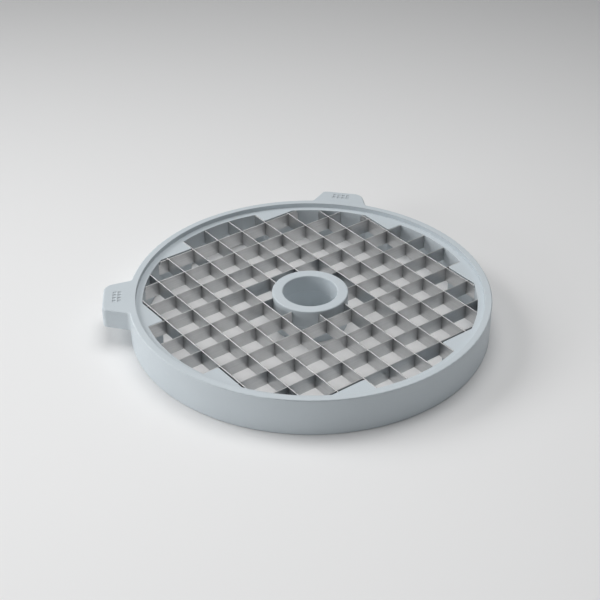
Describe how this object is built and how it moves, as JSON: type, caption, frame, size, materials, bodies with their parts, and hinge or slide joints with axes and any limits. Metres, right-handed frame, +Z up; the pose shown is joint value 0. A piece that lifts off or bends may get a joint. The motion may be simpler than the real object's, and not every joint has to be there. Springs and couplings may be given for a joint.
{
  "type": "vegetable dicer grid",
  "caption": "Round moulded dicing grid with a raised rim, keyed side lugs, a central hub bore and a square lattice of half-lapped steel blades.",
  "frame": {"origin": "centre of the hub bore, in the plane of the flat underside", "axes": "+Z up along the hub bore, towards the cutting edges; +X along the row blades; +Y along the column blades"},
  "size_m": [0.185, 0.1861, 0.02],
  "materials": {
    "frame_plastic": "light blue-grey moulded plastic, satin",
    "blade_steel": "ground stainless strip",
    "screw_steel": "stainless socket screw"
  },
  "bodies": {
    "root": {"clamp_ring": "frame_plastic", "clamp_ring_screws": "screw_steel", "column_blade_01": "blade_steel", "column_blade_02": "blade_steel", "column_blade_03": "blade_steel", "column_blade_04": "blade_steel", "column_blade_05_back": "blade_steel", "column_blade_05_front": "blade_steel", "column_blade_06_back": "blade_steel", "column_blade_06_front": "blade_steel", "column_blade_07": "blade_steel", "column_blade_08": "blade_steel", "column_blade_09": "blade_steel", "column_blade_10": "blade_steel", "hub_collar": "frame_plastic", "hub_collar_screws": "screw_steel", "hub_sleeve": "frame_plastic", "outer_frame": "frame_plastic", "row_blade_01": "blade_steel", "row_blade_02": "blade_steel", "row_blade_03": "blade_steel", "row_blade_04": "blade_steel", "row_blade_05_left": "blade_steel", "row_blade_05_right": "blade_steel", "row_blade_06_left": "blade_steel", "row_blade_06_right": "blade_steel", "row_blade_07": "blade_steel", "row_blade_08": "blade_steel", "row_blade_09": "blade_steel", "row_blade_10": "blade_steel"}
  },
  "joints": []
}
